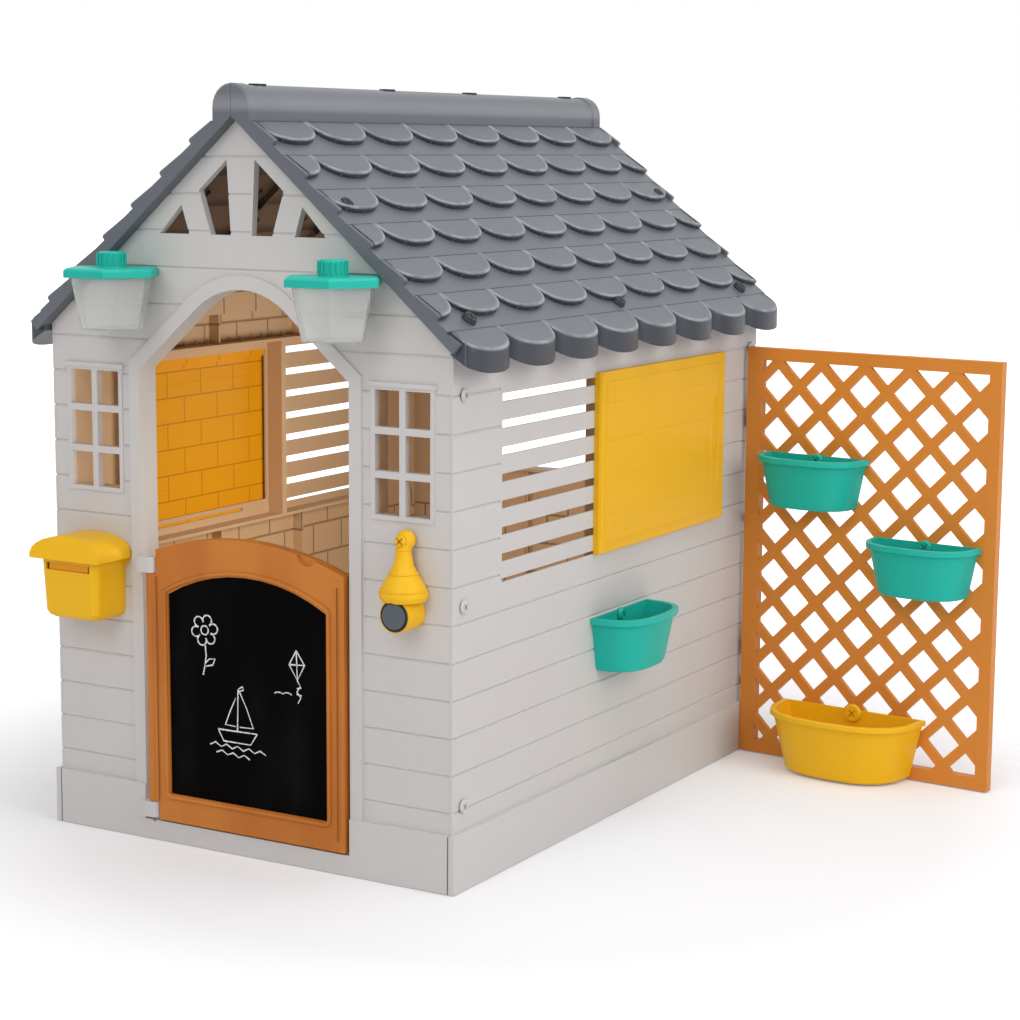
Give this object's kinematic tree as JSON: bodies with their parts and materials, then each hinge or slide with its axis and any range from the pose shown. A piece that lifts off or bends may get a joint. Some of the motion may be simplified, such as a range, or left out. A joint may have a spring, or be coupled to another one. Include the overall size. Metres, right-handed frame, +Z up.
{
  "type": "toy playhouse",
  "caption": "Child's plastic playhouse with a low half door, gabled tile roof, sliding side shutters, letterbox, bell, lanterns and a hinged trellis with planters.",
  "frame": {"origin": "on the ground under the middle of the doorway, half way through the front wall", "axes": "+Z up, the front with its door faces -Y, +X to the side with the trellis"},
  "size_m": [1.4534, 1.3503, 1.334],
  "materials": {
    "warm_white": "satin",
    "slate": "satin",
    "orange": "satin",
    "yellow": "gloss",
    "teal": "gloss",
    "clear": "translucent",
    "board_black": "matte",
    "button_grey": "matte"
  },
  "bodies": {
    "house": {"front_wall": "warm_white", "back_wall": "warm_white", "side_wall_right": "warm_white", "side_wall_left": "warm_white", "roof_right": "slate", "roof_left": "slate", "door_pin_upper": "warm_white", "door_pin_lower": "warm_white", "mailbox_body": "yellow", "bell_body": "yellow", "bell_screw": "yellow", "lantern_cup_left": "clear", "lantern_cup_right": "clear", "lantern_lid_left": "teal", "lantern_lid_right": "teal", "planter_wall": "teal", "planter_screw_wall": "teal", "trellis_pin_upper": "warm_white", "trellis_pin_lower": "warm_white", "corner_bolt_01": "warm_white", "corner_bolt_02": "warm_white", "corner_bolt_03": "warm_white", "corner_bolt_04": "warm_white", "corner_bolt_05": "warm_white", "corner_bolt_06": "warm_white", "corner_bolt_07": "warm_white", "corner_bolt_08": "warm_white", "corner_bolt_09": "warm_white", "corner_bolt_10": "warm_white", "corner_bolt_11": "warm_white", "corner_bolt_12": "warm_white", "roof_bolt_01": "button_grey", "roof_bolt_02": "button_grey", "roof_bolt_03": "button_grey", "roof_bolt_04": "button_grey", "roof_bolt_05": "button_grey", "roof_bolt_06": "button_grey", "roof_bolt_07": "button_grey", "roof_bolt_08": "button_grey", "roof_bolt_09": "button_grey", "roof_bolt_10": "button_grey"},
    "door": {"door_frame": "orange", "chalkboard": "board_black"},
    "right_shutter": {"shutter_right": "yellow"},
    "left_shutter": {"shutter_left": "yellow"},
    "letterbox_lid": {"mailbox_lid": "yellow"},
    "push_button": {"bell_button": "button_grey"},
    "garden_trellis": {"trellis": "orange", "planter_upper": "teal", "planter_lower": "teal", "planter_large": "yellow", "planter_screw_upper": "teal", "planter_screw_lower": "teal", "planter_screw_large": "yellow"}
  },
  "joints": [
    {"name": "door_hinge", "type": "hinge", "parent": "house", "child": "door", "pos_m": [-0.2, -0.026, 0.2794], "axis": [0, 0, -1], "range_deg": [0, 100]},
    {"name": "right_shutter_slide", "type": "slide", "parent": "house", "child": "right_shutter", "axis": [0, -1, 0], "range_m": [0, 0.33]},
    {"name": "left_shutter_slide", "type": "slide", "parent": "house", "child": "left_shutter", "axis": [0, 1, 0], "range_m": [0, 0.33]},
    {"name": "letterbox_lid_lift", "type": "slide", "parent": "house", "child": "letterbox_lid", "axis": [0, 0, 1], "range_m": [0, 0.06]},
    {"name": "button_press", "type": "slide", "parent": "house", "child": "push_button", "axis": [0, 1, 0], "range_m": [0, 0.004], "stiffness_N_per_m": 250},
    {"name": "trellis_hinge", "type": "hinge", "parent": "house", "child": "garden_trellis", "pos_m": [0.442, 1.128, 0], "axis": [0, 0, 1], "range_deg": [-2, 75]}
  ]
}
